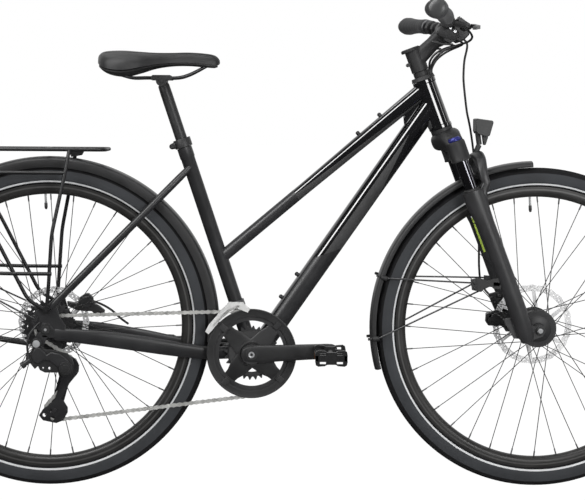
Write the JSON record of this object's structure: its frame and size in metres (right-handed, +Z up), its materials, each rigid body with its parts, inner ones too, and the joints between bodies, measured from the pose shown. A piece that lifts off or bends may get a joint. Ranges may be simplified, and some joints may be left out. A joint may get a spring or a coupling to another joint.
{
  "type": "touring_bicycle",
  "caption": "Touring bicycle with a low sloping top tube, suspension fork, mudguards, rear rack, hydraulic disc brakes and derailleur gears",
  "frame": {"origin": "Ground level, midway between the foremost point of the front tyre and the rearmost point of the rear mudguard, on the bicycle's middle plane", "axes": "+X towards the front wheel, +Y to the rider's left (away from the chain), +Z up"},
  "size_m": [1.812, 0.6284, 1.0609],
  "materials": {
    "frame_paint": "satin",
    "steel": "brushed",
    "dark_steel": "satin",
    "alloy": "satin",
    "tyre_rubber": "matte",
    "soft_rubber": "matte",
    "black_plastic": "matte",
    "saddle_cover": "matte",
    "blue_alloy": "gloss",
    "red_lens": "gloss"
  },
  "bodies": {
    "frame": {"frame": "frame_paint", "seat_clamp": "alloy", "bottom_bracket": "dark_steel", "headset_cover": "alloy", "rear_mudguard": "frame_paint", "rack": "alloy", "tail_light": "red_lens", "front_derailleur": "alloy", "front_derailleur_cage": "steel", "chain": "steel", "rear_caliper": "alloy", "rear_brake_hose": "black_plastic", "rear_shift_housing": "black_plastic", "rear_axle": "steel", "rear_derailleur": "alloy", "kickstand_mount": "alloy"},
    "kickstand": {"kickstand_leg": "alloy"},
    "seat": {"seatpost": "alloy", "saddle_base": "black_plastic", "saddle": "saddle_cover"},
    "crankset": {"crank_right": "alloy", "crank_left": "alloy", "chainring_outer": "dark_steel", "chainring_inner": "dark_steel", "chain_guard": "black_plastic"},
    "pedal_right": {"pedal_right": "black_plastic"},
    "pedal_left": {"pedal_left": "black_plastic"},
    "cassette": {"cassette": "dark_steel"},
    "cage": {"derailleur_cage": "alloy"},
    "guide_pulley": {"guide_pulley": "black_plastic"},
    "tension_pulley": {"tension_pulley": "black_plastic"},
    "rear_wheel": {"rear_tyre": "tyre_rubber", "rear_rim": "alloy", "rear_hub": "alloy", "rear_rotor": "steel"},
    "steering": {"fork_crown": "alloy", "stem": "alloy", "handlebar": "alloy", "grip_left": "soft_rubber", "grip_right": "soft_rubber", "brake_master_left": "black_plastic", "brake_master_right": "black_plastic", "shifter_left": "black_plastic", "shifter_right": "black_plastic", "control_cables": "black_plastic", "front_brake_hose": "black_plastic"},
    "brake_lever_left": {"brake_lever_left": "alloy"},
    "brake_lever_right": {"brake_lever_right": "alloy"},
    "shift_lever_left": {"shift_lever_left": "black_plastic"},
    "shift_lever_right": {"shift_lever_right": "black_plastic"},
    "lockout": {"lockout_dial": "blue_alloy"},
    "fork_lowers": {"fork_lowers": "frame_paint", "front_axle": "steel", "front_caliper": "alloy", "front_mudguard": "frame_paint", "headlamp": "black_plastic"},
    "front_wheel": {"front_tyre": "tyre_rubber", "front_rim": "alloy", "front_hub": "alloy", "front_rotor": "steel"}
  },
  "joints": [
    {"name": "steering_turn", "type": "hinge", "parent": "frame", "child": "steering", "pos_m": [0.50598, 0, 0.33954], "axis": [-0.3502, 0, 0.9367], "range_deg": [-60, 60], "deforming": ["control_cables"]},
    {"name": "fork_travel", "type": "slide", "parent": "steering", "child": "fork_lowers", "axis": [-0.3502, 0, 0.9367], "range_m": [0, 0.063], "stiffness_N_per_m": 9000, "deforming": ["front_brake_hose"]},
    {"name": "front_wheel_spin", "type": "hinge", "parent": "fork_lowers", "child": "front_wheel", "pos_m": [0.55, 0, 0.356], "axis": [0, 1, 0], "continuous": true},
    {"name": "rear_wheel_spin", "type": "hinge", "parent": "frame", "child": "rear_wheel", "pos_m": [-0.53, 0, 0.356], "axis": [0, 1, 0], "continuous": true},
    {"name": "crank_spin", "type": "hinge", "parent": "frame", "child": "crankset", "pos_m": [-0.083, 0, 0.302], "axis": [0, 1, 0], "continuous": true, "deforming": ["chain"]},
    {"name": "cassette_spin", "type": "hinge", "parent": "frame", "child": "cassette", "pos_m": [-0.53, 0, 0.356], "axis": [0, 1, 0], "continuous": true},
    {"name": "pedal_right_spin", "type": "hinge", "parent": "crankset", "child": "pedal_right", "pos_m": [0.08677, -0.13, 0.3109], "axis": [0, 1, 0], "continuous": true},
    {"name": "pedal_left_spin", "type": "hinge", "parent": "crankset", "child": "pedal_left", "pos_m": [-0.25277, 0.13, 0.2931], "axis": [0, 1, 0], "continuous": true},
    {"name": "cage_swing", "type": "hinge", "parent": "frame", "child": "cage", "pos_m": [-0.486, -0.054, 0.27], "axis": [0, 1, 0], "range_deg": [-15, 25], "stiffness_Nm_per_rad": 0.6, "deforming": ["chain"]},
    {"name": "guide_pulley_spin", "type": "hinge", "parent": "cage", "child": "guide_pulley", "pos_m": [-0.486, -0.054, 0.27], "axis": [0, 1, 0], "continuous": true},
    {"name": "tension_pulley_spin", "type": "hinge", "parent": "cage", "child": "tension_pulley", "pos_m": [-0.51146, -0.054, 0.1764], "axis": [0, 1, 0], "continuous": true},
    {"name": "kickstand_swing", "type": "hinge", "parent": "frame", "child": "kickstand", "pos_m": [-0.526, 0.095, 0.29], "axis": [0, -1, 0], "range_deg": [0, 100]},
    {"name": "seatpost_height", "type": "slide", "parent": "frame", "child": "seat", "axis": [-0.3206, 0, 0.9472], "range_m": [0, 0.08]},
    {"name": "brake_lever_left_pull", "type": "hinge", "parent": "steering", "child": "brake_lever_left", "pos_m": [0.38326, 0.14168, 1.01646], "axis": [0, 0, 1], "range_deg": [0, 18], "stiffness_Nm_per_rad": 1.5},
    {"name": "shift_lever_left_push", "type": "hinge", "parent": "steering", "child": "shift_lever_left", "pos_m": [0.33844, 0.1078, 0.97712], "axis": [0, 0, 1], "range_deg": [0, 25], "stiffness_Nm_per_rad": 0.4},
    {"name": "brake_lever_right_pull", "type": "hinge", "parent": "steering", "child": "brake_lever_right", "pos_m": [0.38326, -0.14168, 1.01646], "axis": [0, 0, -1], "range_deg": [0, 18], "stiffness_Nm_per_rad": 1.5},
    {"name": "shift_lever_right_push", "type": "hinge", "parent": "steering", "child": "shift_lever_right", "pos_m": [0.33844, -0.1078, 0.97712], "axis": [0, 0, -1], "range_deg": [0, 25], "stiffness_Nm_per_rad": 0.4},
    {"name": "lockout_turn", "type": "hinge", "parent": "steering", "child": "lockout", "pos_m": [0.3472, -0.063, 0.79562], "axis": [-0.3502, 0, 0.9367], "range_deg": [0, 90]}
  ],
  "couplings": [
    {"joint": "cassette_spin", "follows": "crank_spin", "ratio": 3.5385},
    {"joint": "guide_pulley_spin", "follows": "crank_spin", "ratio": -4.1818},
    {"joint": "tension_pulley_spin", "follows": "crank_spin", "ratio": 4.1818}
  ]
}
